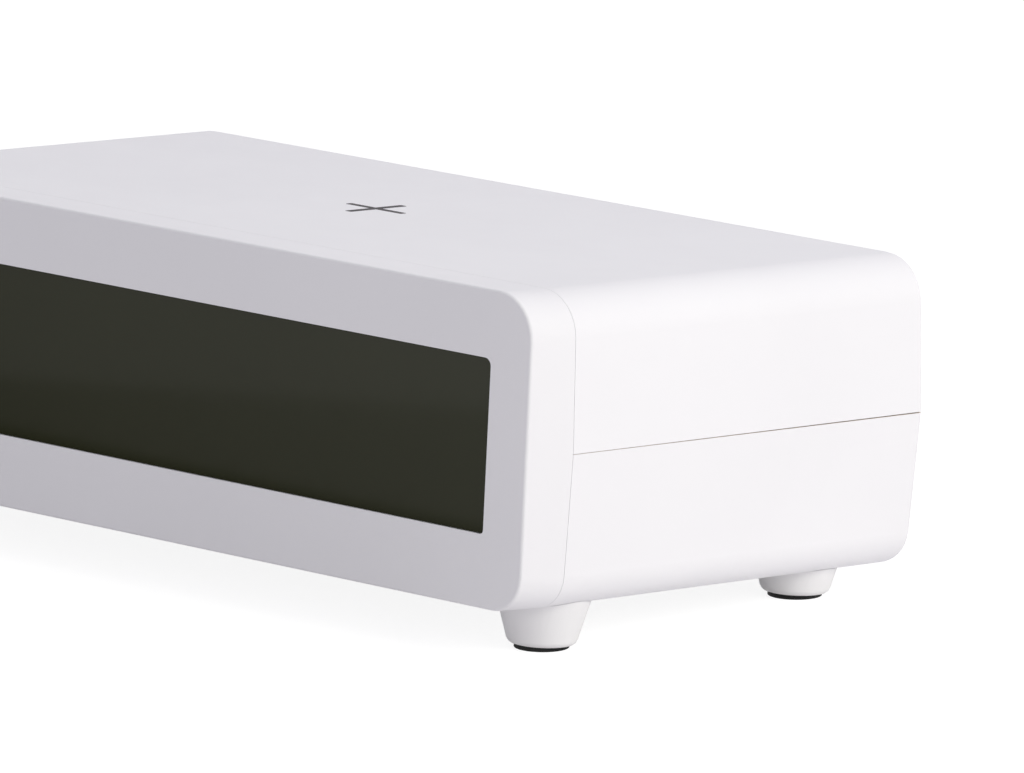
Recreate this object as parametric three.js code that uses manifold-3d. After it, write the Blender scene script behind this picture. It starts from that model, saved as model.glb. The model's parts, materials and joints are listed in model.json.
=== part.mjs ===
// Digital alarm clock with a wireless charging top: a wide box that leans back a little on four
// conical feet, with a tinted display window in a moulded front frame.
// Millimetres, +Z up. The clock faces -Y. The origin is on the table under the middle of the clock.
// Everything but the lean is drawn in the body's own axes: x from the middle, y back from the front
// face, z up from the underside.

import * as THREE from "three";
import { mergeVertices } from "three/addons/utils/BufferGeometryUtils.js";
import Module from "manifold-3d";

const wasm = await Module();
wasm.setup();

// Body
const bodyWidth = 190;
const bodyHeight = 58;
const bodyDepth = 104;
const leanDegrees = 2.8;
const sideSwell = 2.4;
const draftDegrees = 2.1;
const partingHeight = 29;
const topEdgeRadius = 8.5;
const bottomEdgeRadius = 7;
const rearEdgeRadius = 1.5;
const wall = 2.5;
const seatGap = 0.3;
const runningGap = 0.3;
const overrun = 1;

// Front frame and its window
const frameDepth = 9.7;
const frameWall = 3;
const frameEdgeRadius = 0.5;
const frameSeamGap = 0.08;
const windowSideMargin = 9.8;
const windowTopMargin = 12.5;
const windowBottomMargin = 13.5;
const windowTopRadius = 1.5;
const windowBottomRadius = 0.8;
const spigotLength = 4;
const spigotWall = 1.6;
const frameBossX = 60;
const frameBossRadius = 2.5;
const frameBossEdgeDistance = 7.6;
const lugThickness = 2;
const lugHalfWidth = 4.4;

// Display
const lensRecess = 0.45;
const lensGap = 0.1;
const lensFlange = 2.4;
const lensFlangeThickness = 1.5;
const filmThickness = 0.3;
const lightBoxDepth = 8;
const lightBoxMargin = 0.8;
const digitMargin = 4;
const digitWidth = 13;
const digitPitch = 25;
const digitCount = 4;
const digitSlantDegrees = 7;
const segmentWidth = 3;
const segmentGap = 0.7;
const wellFloorShare = 0.5;
const colonRadius = 1.6;
const colonSpacing = 9;
const boardThickness = 1.6;
const displayBoardMargin = 5.2;
const boardCornerRadius = 2;
const lightSide = 0.9;
const lightHeight = 0.9;

// Shell joint, a little wider at the rear than at the frame, and screw columns
const partingGapFront = 0.08;
const partingGapRear = 0.22;
const tongueHeight = 2.2;
const columnRadius = 3.4;
const lowerBossRadius = 4.2;
const lowerBossTop = 9.7;
const ribThickness = 1.4;
const ribHeight = 3.6;
const ribSideX = 50;
const frontRibGap = 1.7;
const rearRibGap = 3.1;

// Screws
const caseScrewLength = 22;
const caseScrewRadius = 1.4;
const caseScrewHeadRadius = 2.8;
const caseScrewHeadHeight = 2;
const boardScrewLength = 5;
const boardScrewRadius = 1.1;
const boardScrewHeadRadius = 2.1;
const boardScrewHeadHeight = 1.4;
const screwTip = 0.8;
const screwCrownShare = 0.9;

// Feet
const footSideInset = 11.1;
const footEndInset = 18.2;
const frontFootHeight = 8.9;
const footToeRadius = 6.25;
const footTaperDegrees = 16.2;
const footToeRound = 1;
const footGap = 0.05;
const footBlend = 1.5;
const padRadius = 5.07;
const padShowing = 0.65;
const padRecess = 0.9;
const padRecessGap = 0.15;

// Main board, on posts on the floor
const mainBoardHalfWidth = 62;
const mainBoardFront = 34;
const mainBoardRearInset = 8;
const mainBoardHeight = 7.5;
const mainPostRadius = 3;
const mainPostInset = 5.5;
const mainPlugInset = 3;
const mainPlugDepth = 5;
const mainPlugHeight = 2.4;
const mainPlugEnd = 1;
const mainPartSide = 12;
const mainPartHeight = 8;

// Buttons, slider and their board, on the rear wall
const buttonHeight = 18;
const buttonFirstX = -46;
const buttonPitch = 14;
const buttonCount = 4;
const buttonLength = 10;
const buttonWidth = 4.6;
const buttonProud = 1.3;
const buttonTravel = 0.6;
const buttonFlange = 1.1;
const buttonFlangeThickness = 1;
const stemRadius = 1.6;
const switchSize = 6;
const switchDepth = 3.4;
const plungerRadius = 1.7;
const plungerLength = 0.9;
const controlBoardInset = 9.8;
const controlBoardLow = 11.2;
const controlBoardHigh = 25;
const controlBoardMargin = 4;
const controlPostRadius = 2.4;
const controlPostReach = 11;
const sliderX = 10;
const sliderTravel = 3;
const sliderSlotLength = 8;
const sliderSlotWidth = 3.4;
const sliderKnobLength = 3.6;
const sliderProud = 0.9;
const sliderPlateOverlap = 1.2;
const sliderSlotRadius = 0.3;
const sliderGrooveWidth = 0.6;
const sliderGroovePitch = 1.8;

// Power inlet
const inletEndDistance = 16;
const inletWidth = 8.9;
const inletThickness = 3.2;
const inletWall = 0.3;
const inletLength = 9;
const inletTongueThickness = 0.7;
const inletTongueWidth = 6.6;
const inletRecess = 0.3;
const inletTongueRecess = 0.9;
const inletBase = 3.2;

// Back-up cell and its turning door
const cellX = -30;
const cellY = 60;
const cellRadius = 10;
const cellThickness = 3.2;
const cellRimWidth = 1.4;
const cellRimHeight = 0.3;
const doorRadius = 13;
const doorThickness = 2.3;
const doorLedge = 1;
const doorLugReach = 1.6;
const doorLugThickness = 0.9;
const doorLugDegrees = 34;
const doorTurnDegrees = 45;
const doorNotchSlackDegrees = 4.5;
const doorLugCount = 3;
const coinSlotLength = 15;
const coinSlotWidth = 1.8;
const coinSlotDepth = 1;
const holderWall = 1.3;
const contactThickness = 0.25;
const contactWidth = 3;
const holderGateHalfWidth = 3;

// Sounder over its grille
const sounderX = 30;
const sounderY = 60;
const sounderRadius = 7;
const sounderHoleRadius = 0.8;
const sounderHoleCircle = 3.6;
const sounderHoleCount = 6;
const sounderVentRadius = 1.2;
const sounderVentDepth = 1;

// Charging stack under the top
const coilFrontDistance = 18.3;
const coilDepthShare = 0.35;
const coilOuterRadius = 22;
const coilInnerRadius = 10;
const coilThickness = 1.7;
const ferriteSide = 50;
const ferriteThickness = 0.8;
const carrierHalfX = 39;
const carrierHalfY = 28;
const carrierThickness = 2;
const carrierPedestal = 1.4;
const carrierRim = 1.5;
const carrierCornerRadius = 5;
const carrierBossInset = 5;
const carrierBossRadius = 3;
const carrierPostRadius = 2.6;
const carrierPostLength = 4;
const carrierPostX = 20;
const coilLeadHalfWidth = 3;
const chargeBoardHalfX = 26;
const chargeBoardHalfY = 17;
const chargePartSide = 10;
const chargePartHeight = 4;

// Flat cable between the boards
const ribbonWidth = 18;
const ribbonThickness = 0.4;
const ribbonOverlap = 4;
const ribbonStartHeight = 14;

// Facets
const cornerSteps = 8;
const innerSteps = 3;
const edgeSteps = 3;
const roundSteps = 24;
const footSteps = 32;
const boreSteps = 12;
const screwSteps = 8;

const half = 0.5;
const quarterTurn = Math.PI * half;
const fullTurn = Math.PI + Math.PI;
const lean = THREE.MathUtils.degToRad(leanDegrees);
const draft = Math.tan(THREE.MathUtils.degToRad(draftDegrees));

// Solids and meshes

function solid(geometry) {
  const bare = geometry.clone();
  bare.deleteAttribute("normal");
  bare.deleteAttribute("uv");
  const merged = mergeVertices(bare);
  return new wasm.Manifold(
    new wasm.Mesh({
      numProp: 3,
      vertProperties: merged.attributes.position.array,
      triVerts: merged.index.array,
    }),
  );
}

function joined(...solids) {
  return solids.reduce((whole, next) => whole.add(next));
}

function cutBy(whole, ...cuts) {
  return cuts.reduce((rest, cut) => rest.subtract(cut), whole);
}

function block(x0, x1, y0, y1, z0, z1) {
  const box = new THREE.BoxGeometry(x1 - x0, y1 - y0, z1 - z0);
  return solid(box.translate((x0 + x1) * half, (y0 + y1) * half, (z0 + z1) * half));
}

// A round bar along z, or along y.
function upright(x, y, z0, z1, radius, steps = roundSteps) {
  const bar = new THREE.CylinderGeometry(radius, radius, z1 - z0, steps).rotateX(quarterTurn);
  return solid(bar.translate(x, y, (z0 + z1) * half));
}

function rodBack(x, z, y0, y1, radius, steps = roundSteps) {
  const bar = new THREE.CylinderGeometry(radius, radius, y1 - y0, steps);
  return solid(bar.translate(x, (y0 + y1) * half, z));
}

// A profile of [radius, height] points turned about z.
function turned(profile, steps = roundSteps) {
  const points = profile.map(([r, z]) => new THREE.Vector2(r, z));
  return new THREE.LatheGeometry(points, steps).rotateX(quarterTurn);
}

// A rectangle about a middle point, with one radius for its upper and one for its lower corners.
function roundedRectangle(cx, cy, width, height, topRadius, bottomRadius = topRadius) {
  const [left, right] = [cx - width * half, cx + width * half];
  const [low, high] = [cy - height * half, cy + height * half];
  const shape = new THREE.Shape();
  shape.absarc(right - bottomRadius, low + bottomRadius, bottomRadius, -quarterTurn, 0);
  shape.absarc(right - topRadius, high - topRadius, topRadius, 0, quarterTurn);
  shape.absarc(left + topRadius, high - topRadius, topRadius, quarterTurn, Math.PI);
  shape.absarc(left + bottomRadius, low + bottomRadius, bottomRadius, Math.PI, Math.PI + quarterTurn);
  shape.closePath();
  return shape;
}

// A shape drawn in x and y, thick from z0 to z1.
function slab(shape, z0, z1, steps = innerSteps) {
  const options = { depth: z1 - z0, bevelEnabled: false, curveSegments: steps };
  return solid(new THREE.ExtrudeGeometry(shape, options).translate(0, 0, z0));
}

// A shape drawn in x and z, thick from y0 to y1.
function panel(shape, y0, y1, steps = innerSteps) {
  const options = { depth: y1 - y0, bevelEnabled: false, curveSegments: steps };
  const flat = new THREE.ExtrudeGeometry(shape, options).rotateX(quarterTurn);
  return solid(flat.translate(0, y1, 0));
}

// End caps as point triples: of a flat ring, and of a ring whose second half mirrors its first, in
// level strips, so that the cap can fold at the parting height.
function flatCap(ring) {
  const outline = ring.map((point) => new THREE.Vector2(point.x, point.z));
  return THREE.ShapeUtils.triangulateShape(outline, []);
}

function foldedCap(ring) {
  const last = ring.length - 1;
  const triples = [];
  for (let i = 0; i + 1 < ring.length / 2; i++) {
    triples.push([i, i + 1, last - i]);
    triples.push([i + 1, last - i - 1, last - i]);
  }
  return triples;
}

// A closed skin through rings that hold the same number of points, each counter-clockwise seen from
// the front, listed from front to back.
function loft(rings, capOf = flatCap) {
  const count = rings[0].length;
  const positions = rings.flat().flatMap((point) => [point.x, point.y, point.z]);
  const index = [];
  for (let ring = 0; ring + 1 < rings.length; ring++) {
    for (let i = 0; i < count; i++) {
      const a = ring * count + i;
      const b = ring * count + ((i + 1) % count);
      index.push(a, a + count, b, b, a + count, b + count);
    }
  }
  const last = (rings.length - 1) * count;
  for (const [a, b, c] of capOf(rings[0])) {
    index.push(a, b, c);
  }
  for (const [a, b, c] of capOf(rings.at(-1))) {
    index.push(last + a, last + c, last + b);
  }
  const geometry = new THREE.BufferGeometry();
  geometry.setAttribute("position", new THREE.Float32BufferAttribute(positions, 3));
  geometry.setIndex(index);
  return solid(geometry);
}

// The body's outline

// One ring of the body's outline, drawn in by inset. The swell share runs from 0 at the front face,
// where the sides are straight, to 1 from the frame's seam back, where they stand out at the parting
// line and draw in above and below it. The rear face draws in the same way.
function bodyRing(y, inset, swellShare, drawnIn = false, steps = cornerSteps) {
  const slope = draft * swellShare;
  const middle = bodyWidth * half + sideSwell * swellShare - inset;
  const sideAngle = Math.atan(slope);
  const points = [];
  const corner = (radius, upper) => {
    const bend = Math.max(radius - inset, rearEdgeRadius);
    const centreZ = upper ? bodyHeight - inset - bend : inset + bend;
    const rise = Math.abs(centreZ - partingHeight);
    const centreX = middle - rise * slope - bend / Math.cos(sideAngle);
    for (let i = 0; i <= steps; i++) {
      const turn = sideAngle + (i / steps) * (quarterTurn - sideAngle);
      const lift = upper ? Math.sin(turn) : -Math.sin(turn);
      points.push([centreX + bend * Math.cos(turn), centreZ + bend * lift]);
    }
  };
  corner(bottomEdgeRadius, false);
  points.reverse();
  points.push([middle, partingHeight]);
  corner(topEdgeRadius, true);
  const left = points.map(([x, z]) => [-x, z]).reverse();
  const depth = (z) => (drawnIn ? y - Math.abs(z - partingHeight) * draft : y);
  return [...points, ...left].map(([x, z]) => new THREE.Vector3(x, depth(z), z));
}

// The swell share at a depth: it grows evenly over the frame.
function swellAt(y) {
  return Math.min(Math.max(y / frameDepth, 0), 1);
}

// The body as a solid block drawn in by inset, from y0 to y1, with straight ends.
function bodyCore(inset, y0, y1, drawnIn = false) {
  const ring = (y, folded) => bodyRing(y, inset, swellAt(y), folded, innerSteps);
  const bend = y0 < frameDepth && y1 > frameDepth ? [ring(frameDepth, false)] : [];
  return loft([ring(y0, false), ...bend, ring(y1, drawnIn)], foldedCap);
}

// The outline's rings from the rounded front edge to the frame's seam.
function frontRings() {
  const rings = [];
  for (let i = 0; i <= edgeSteps; i++) {
    const turn = (i / edgeSteps) * quarterTurn;
    const inset = frameEdgeRadius * (1 - Math.sin(turn));
    const y = frameEdgeRadius * (1 - Math.cos(turn));
    rings.push(bodyRing(y, inset, swellAt(y)));
  }
  rings.push(bodyRing(frameDepth, 0, 1));
  return rings;
}

// The outline's rings round the rear edge.
function rearRings() {
  const rings = [];
  for (let i = 0; i <= edgeSteps; i++) {
    const turn = (i / edgeSteps) * quarterTurn;
    const inset = rearEdgeRadius * (1 - Math.cos(turn));
    const y = bodyDepth - rearEdgeRadius * (1 - Math.sin(turn));
    rings.push(bodyRing(y, inset, 1, true));
  }
  return rings;
}

// The whole body as one block, and the block behind the frame's seam.
function wholeBody() {
  return loft([...frontRings(), ...rearRings()], foldedCap);
}

function outerBody() {
  return loft([bodyRing(frameDepth + frameSeamGap, 0, 1), ...rearRings()], foldedCap);
}

// The rear wall's outer face at a height, and its inner face.
function rearFaceY(z) {
  return bodyDepth - Math.abs(z - partingHeight) * draft;
}

function rearInnerY(z) {
  return rearFaceY(z) - wall;
}

// All of the space that the body takes between two heights.
function bodySlice(z0, z1) {
  const side = bodyWidth * half + sideSwell + overrun;
  return block(-side, side, -overrun, bodyDepth + overrun, z0, z1);
}

// Feet, seen from the body: the table comes nearer towards the rear.
const footX = bodyWidth * half - footSideInset;
const frontFootY = footEndInset;
const rearFootY = bodyDepth - footEndInset;
const mainBoardRear = bodyDepth - mainBoardRearInset;
const controlBoardFaceY = bodyDepth - controlBoardInset;
const coilY = coilFrontDistance + bodyDepth * coilDepthShare;
const frontRibY = coilY - carrierHalfY - frontRibGap;
const rearRibY = coilY + carrierHalfY + rearRibGap;
const footPlaces = [
  { name: "front_left", x: -footX, y: frontFootY },
  { name: "front_right", x: footX, y: frontFootY },
  { name: "rear_left", x: -footX, y: rearFootY },
  { name: "rear_right", x: footX, y: rearFootY },
];

function tableZ(y) {
  return (y - frontFootY) * Math.tan(lean) - frontFootHeight;
}

function footToeZ(y) {
  return tableZ(y) + padShowing;
}

function caseScrewSeatZ(y) {
  return footToeZ(y) + padRecess + padRecessGap + caseScrewHeadHeight;
}

const caseBoreRadius = caseScrewRadius + runningGap;
const boardBoreRadius = boardScrewRadius + runningGap;
const pilotTop = caseScrewSeatZ(rearFootY) + caseScrewLength + overrun;
const frontColumnFoot = lowerBossTop + seatGap + lugThickness + seatGap;
const rearColumnFoot = lowerBossTop + seatGap;

// Window and display planes
const windowWidth = bodyWidth - windowSideMargin - windowSideMargin;
const windowHeight = bodyHeight - windowTopMargin - windowBottomMargin;
const windowMiddle = windowBottomMargin + windowHeight * half;
const lensFlangeFront = frameWall + lensGap;
const lensBack = lensFlangeFront + lensFlangeThickness;
const filmFront = lensBack + seatGap;
const lightBoxFront = filmFront + filmThickness + seatGap;
const lightBoxBack = lightBoxFront + lightBoxDepth;
const displayBoardFront = lightBoxBack + seatGap;
const displayBoardBack = displayBoardFront + boardThickness;
const displayBoardHalfWidth = footX - lugHalfWidth - seatGap;
const digitHeight = windowHeight - digitMargin - digitMargin;
const colonHeights = [-colonSpacing * half, colonSpacing * half];

// The display board's bosses on the frame, as x and z.
function frameBossPlaces() {
  const heights = [frameBossEdgeDistance, bodyHeight - frameBossEdgeDistance];
  return heights.flatMap((z) => [-frameBossX, frameBossX].map((x) => [x, z]));
}

// The window's outline, grown or drawn in by a margin.
function windowShape(margin) {
  const width = windowWidth + margin + margin;
  const height = windowHeight + margin + margin;
  const top = windowTopRadius + margin;
  const bottom = windowBottomRadius + margin;
  return roundedRectangle(0, windowMiddle, width, height, top, bottom);
}

// Front frame: one moulding with the window, a spigot that plugs into the shells, four bosses for
// the display board and two lugs that the front case screws clamp.
function frontFrame() {
  const spigotInset = wall + seatGap;
  const hollowInset = spigotInset + spigotWall;
  const skin = loft(frontRings(), foldedCap);
  const spigot = bodyCore(spigotInset, frameWall, frameDepth + spigotLength);
  const hollow = bodyCore(hollowInset, frameWall, frameDepth + spigotLength + overrun);
  let frame = cutBy(joined(skin, spigot), hollow);
  const [bossRoot, bossEnd] = [frameWall - seatGap, displayBoardFront - seatGap];
  const pilotEnd = displayBoardFront - boardScrewLength;
  for (const [x, z] of frameBossPlaces()) {
    const boss = rodBack(x, z, bossRoot, bossEnd, frameBossRadius, boreSteps);
    const pilot = rodBack(x, z, pilotEnd, bossEnd + overrun, boardBoreRadius, screwSteps);
    frame = cutBy(joined(frame, boss), pilot);
  }
  for (const side of [-1, 1]) {
    frame = joined(frame, clampLug(side, hollowInset));
  }
  const opening = panel(windowShape(0), -overrun, frameWall + overrun);
  return cutBy(frame, opening);
}

// A lug on the spigot's side wall that reaches round the front case screw.
function clampLug(side, hollowInset) {
  const z0 = lowerBossTop + seatGap;
  const z1 = z0 + lugThickness;
  const sideX = bodyWidth * half + sideSwell - (partingHeight - z0) * draft;
  const outer = sideX - hollowInset + spigotWall * half;
  const armInner = windowWidth * half + lightBoxMargin;
  const [front, rear] = [frontFootY - lugHalfWidth, frontFootY + lugHalfWidth];
  const spans = [
    [footX - lugHalfWidth, outer, front, rear],
    [armInner, outer, frameDepth, rear],
  ];
  const parts = spans.map(([x0, x1, y0, y1]) => {
    const [a, b] = [side * x0, side * x1].sort((p, q) => p - q);
    return block(a, b, y0, y1, z0, z1);
  });
  const hole = upright(side * footX, frontFootY, z0 - overrun, z1 + overrun, caseBoreRadius, boreSteps);
  return cutBy(joined(...parts), hole);
}

// Lens: a tinted plate that fills the window and has a flange behind it.
function displayLens() {
  const plug = panel(windowShape(-lensGap), lensRecess, lensBack);
  const flange = panel(windowShape(lensFlange), lensFlangeFront, lensBack);
  return joined(plug, flange);
}

function diffuserFilm() {
  return panel(windowShape(lightBoxMargin), filmFront, filmFront + filmThickness);
}

// Light box: wells for four seven-segment figures and a colon. Each well is wide at the front and
// narrow at its light, like the real reflector.
const slant = Math.tan(THREE.MathUtils.degToRad(digitSlantDegrees));

// The middle, length and direction of each of the seven bars of a figure.
function segmentBars() {
  const barX = digitWidth * half - segmentWidth * half;
  const barZ = digitHeight * half - segmentWidth * half;
  const across = digitWidth - segmentWidth - segmentGap;
  const along = barZ - segmentGap;
  return [
    { x: 0, z: barZ, length: across, level: true },
    { x: 0, z: 0, length: across, level: true },
    { x: 0, z: -barZ, length: across, level: true },
    { x: -barX, z: barZ * half, length: along, level: false },
    { x: barX, z: barZ * half, length: along, level: false },
    { x: -barX, z: -barZ * half, length: along, level: false },
    { x: barX, z: -barZ * half, length: along, level: false },
  ];
}

// A six-sided bar outline at a depth, slanted with the figure.
function barRing(bar, figureX, y, sizeShare) {
  const long = bar.length * half * sizeShare;
  const thick = segmentWidth * half * sizeShare;
  const tip = long - thick;
  const outline = [
    [-long, 0],
    [-tip, -thick],
    [tip, -thick],
    [long, 0],
    [tip, thick],
    [-tip, thick],
  ];
  return outline.map(([u, v]) => {
    const x = bar.level ? u : -v;
    const z = bar.level ? v : u;
    const height = bar.z + z;
    return new THREE.Vector3(figureX + bar.x + x + height * slant, y, windowMiddle + height);
  });
}

function figureCentres() {
  const first = -(digitCount - 1) * half;
  return Array.from({ length: digitCount }, (_, i) => (first + i) * digitPitch);
}

function lightBox() {
  let box = panel(windowShape(-lightBoxMargin), lightBoxFront, lightBoxBack);
  const [front, back] = [lightBoxFront - overrun, lightBoxBack + overrun];
  for (const x of figureCentres()) {
    for (const bar of segmentBars()) {
      box = cutBy(box, loft([barRing(bar, x, front, 1), barRing(bar, x, back, wellFloorShare)]));
    }
  }
  for (const z of colonHeights) {
    const dot = rodBack(z * slant, windowMiddle + z, front, back, colonRadius, screwSteps);
    box = cutBy(box, dot);
  }
  return box;
}

// A board drawn in x and z with a light for each well, and holes over the frame's bosses.
function displayBoard() {
  const low = displayBoardMargin;
  const high = bodyHeight - displayBoardMargin;
  const outline = roundedRectangle(
    0,
    (low + high) * half,
    displayBoardHalfWidth + displayBoardHalfWidth,
    high - low,
    boardCornerRadius,
  );
  let board = panel(outline, displayBoardFront, displayBoardBack);
  const [before, behind] = [displayBoardFront - overrun, displayBoardBack + overrun];
  for (const [x, z] of frameBossPlaces()) {
    board = cutBy(board, rodBack(x, z, before, behind, boardBoreRadius, screwSteps));
  }
  const spots = figureCentres().flatMap((x) =>
    segmentBars().map((bar) => [x + bar.x + bar.z * slant, windowMiddle + bar.z]),
  );
  for (const z of colonHeights) {
    spots.push([z * slant, windowMiddle + z]);
  }
  const reach = lightSide * half;
  const [tip, root] = [displayBoardFront - lightHeight, displayBoardFront + boardThickness * half];
  for (const [x, z] of spots) {
    board = joined(board, block(x - reach, x + reach, tip, root, z - reach, z + reach));
  }
  const plugY = displayBoardBack + seatGap + ribbonThickness;
  const plug = block(
    -ribbonWidth * half,
    ribbonWidth * half,
    displayBoardBack - boardThickness * half,
    plugY + boardThickness,
    ribbonStartHeight + ribbonOverlap + seatGap,
    ribbonStartHeight + ribbonOverlap + ribbonOverlap,
  );
  return joined(board, plug);
}

// Upper and lower shells

function hollowShell() {
  const hollow = bodyCore(wall, frameDepth - overrun, bodyDepth - wall, true);
  return cutBy(outerBody(), hollow);
}

const tongueInset = wall * half + runningGap * half;
const rebateInset = wall * half - runningGap * half;
const partingTilt = Math.atan2(partingGapRear - partingGapFront, bodyDepth - frameDepth);
const partingTiltDegrees = THREE.MathUtils.radToDeg(partingTilt);

// Upper shell: the top, the upper half of the sides and of the back, screw columns at its corners,
// bosses for the coil carrier and stiffening ribs.
function upperShell() {
  const partingZ = partingHeight + partingGapFront * half;
  const above = bodySlice(partingZ, bodyHeight + overrun)
    .translate([0, -frameDepth, -partingZ])
    .rotate([partingTiltDegrees, 0, 0])
    .translate([0, frameDepth, partingZ]);
  let shell = hollowShell().intersect(above);
  const rebate = bodyCore(rebateInset, frameDepth - overrun, bodyDepth - rebateInset, true);
  const rebateTop = partingZ + tongueHeight + runningGap;
  shell = cutBy(shell, rebate.intersect(bodySlice(0, rebateTop)));
  const roof = bodyHeight - wall;
  const inside = bodyHeight - wall * half;
  const additions = [];
  const cuts = [];
  for (const { x, y } of footPlaces) {
    const foot = y < bodyDepth * half ? frontColumnFoot : rearColumnFoot;
    additions.push(upright(x, y, foot, inside, columnRadius, boreSteps));
    cuts.push(upright(x, y, foot - overrun, pilotTop, caseBoreRadius, boreSteps));
  }
  for (const [x, y] of carrierBossPlaces()) {
    additions.push(upright(x, y, carrierTopZ + seatGap, inside, carrierBossRadius, boreSteps));
    cuts.push(upright(x, y, carrierTopZ - overrun, inside, boardBoreRadius, screwSteps));
  }
  const ribFoot = roof - ribHeight;
  const ribEnd = footX - columnRadius - seatGap;
  const thick = ribThickness * half;
  for (const y of [frontRibY, rearRibY]) {
    additions.push(block(-ribEnd, ribEnd, y - thick, y + thick, ribFoot, inside));
  }
  for (const x of [-ribSideX, ribSideX]) {
    additions.push(block(x - thick, x + thick, frontRibY, rearRibY, ribFoot, inside));
  }
  return cutBy(joined(shell, ...additions), ...cuts);
}

// Lower shell: the underside, the lower half of the sides and of the back, a tongue that runs inside
// the upper shell, posts for the boards, the cell's well and the openings in the back.
function lowerShell() {
  const partingZ = partingHeight - partingGapFront * half;
  let shell = hollowShell().intersect(bodySlice(-overrun, partingZ));
  const tongueFront = frameDepth + spigotLength + seatGap;
  const tongue = cutBy(
    bodyCore(tongueInset, tongueFront, bodyDepth - tongueInset, true),
    bodyCore(wall, tongueFront - overrun, bodyDepth - wall, true),
  );
  const tongueTop = partingHeight + tongueHeight;
  shell = joined(shell, tongue.intersect(bodySlice(partingZ - wall, tongueTop)));
  const floor = wall * half;
  const additions = [];
  const cuts = [];
  for (const { x, y } of footPlaces) {
    additions.push(upright(x, y, floor, lowerBossTop, lowerBossRadius, boreSteps));
    cuts.push(upright(x, y, -overrun, lowerBossTop + overrun, caseBoreRadius, boreSteps));
  }
  for (const [x, y] of mainPostPlaces()) {
    const top = mainBoardHeight - seatGap;
    additions.push(upright(x, y, floor, top, mainPostRadius, boreSteps));
    cuts.push(upright(x, y, floor, top + overrun, boardBoreRadius, screwSteps));
  }
  const postFront = controlBoardFaceY + seatGap;
  const postRoot = rearInnerY(buttonHeight);
  for (const x of controlPostXs()) {
    const end = postRoot + wall * half;
    additions.push(rodBack(x, buttonHeight, postFront, end, controlPostRadius, boreSteps));
    cuts.push(rodBack(x, buttonHeight, postFront - overrun, postRoot, boardBoreRadius, screwSteps));
  }
  const thick = ribThickness * half;
  const ribEnd = footX - lowerBossRadius - seatGap;
  const ribTop = wall + ribHeight;
  additions.push(block(-ribEnd, ribEnd, frontRibY - thick, frontRibY + thick, floor, ribTop));
  additions.push(cellWell());
  cuts.push(...cellWellCuts(), ...sounderGrille(), ...rearCutOuts());
  return cutBy(joined(shell, ...additions), ...cuts);
}

// The well's wall stands on the floor round the door's groove.
const doorGrooveRadius = doorRadius + doorLugReach + runningGap;
const doorLugLow = doorLedge + runningGap;
const doorGrooveTop = doorLugLow + doorLugThickness + runningGap;

function cellWell() {
  const top = mainBoardHeight - seatGap;
  return upright(cellX, cellY, wall * half, top, doorGrooveRadius + ribThickness);
}

// A sector of a disc about the cell's middle.
function lugSector(angle, radius, z0, z1, degrees) {
  const spread = THREE.MathUtils.degToRad(degrees) * half;
  const [start, end] = [angle - spread, angle + spread];
  const shape = new THREE.Shape();
  shape.moveTo(0, 0);
  shape.lineTo(radius * Math.cos(start), radius * Math.sin(start));
  shape.absarc(0, 0, radius, start, end);
  shape.closePath();
  return slab(shape, z0, z1).translate([cellX, cellY, 0]);
}

function lugAngles(turnDegrees) {
  const turn = THREE.MathUtils.degToRad(turnDegrees);
  return Array.from({ length: doorLugCount }, (_, i) => turn + (i / doorLugCount) * fullTurn);
}

function cellWellCuts() {
  const cuts = [
    upright(cellX, cellY, -overrun, mainBoardHeight, doorRadius + runningGap),
    upright(cellX, cellY, doorLedge, mainBoardHeight, doorGrooveRadius),
  ];
  for (const angle of lugAngles(doorTurnDegrees)) {
    const wide = doorLugDegrees + doorNotchSlackDegrees;
    cuts.push(lugSector(angle, doorGrooveRadius, -overrun, doorLedge + overrun, wide));
  }
  return cuts;
}

function sounderGrille() {
  const centre = upright(sounderX, sounderY, -overrun, wall + overrun, sounderHoleRadius, screwSteps);
  const ring = Array.from({ length: sounderHoleCount }, (_, i) => {
    const turn = (i / sounderHoleCount) * fullTurn;
    const x = sounderX + sounderHoleCircle * Math.cos(turn);
    const y = sounderY + sounderHoleCircle * Math.sin(turn);
    return upright(x, y, -overrun, wall + overrun, sounderHoleRadius, screwSteps);
  });
  return [centre, ...ring];
}

function buttonXs() {
  return Array.from({ length: buttonCount }, (_, i) => buttonFirstX + i * buttonPitch);
}

function pill(x, z, length, width) {
  return roundedRectangle(x, z, length, width, width * half);
}

function rearCutOuts() {
  const clear = runningGap + runningGap;
  const [front, back] = [bodyDepth - wall - wall, bodyDepth + overrun];
  const cuts = buttonXs().map((x) =>
    panel(pill(x, buttonHeight, buttonLength + clear, buttonWidth + clear), front, back),
  );
  const [long, wide] = [sliderSlotLength, sliderSlotWidth];
  cuts.push(panel(roundedRectangle(sliderX, buttonHeight, long, wide, sliderSlotRadius), front, back));
  cuts.push(panel(pill(inletX, inletZ, inletWidth + clear, inletThickness + clear), front, back));
  return cuts;
}

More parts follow.
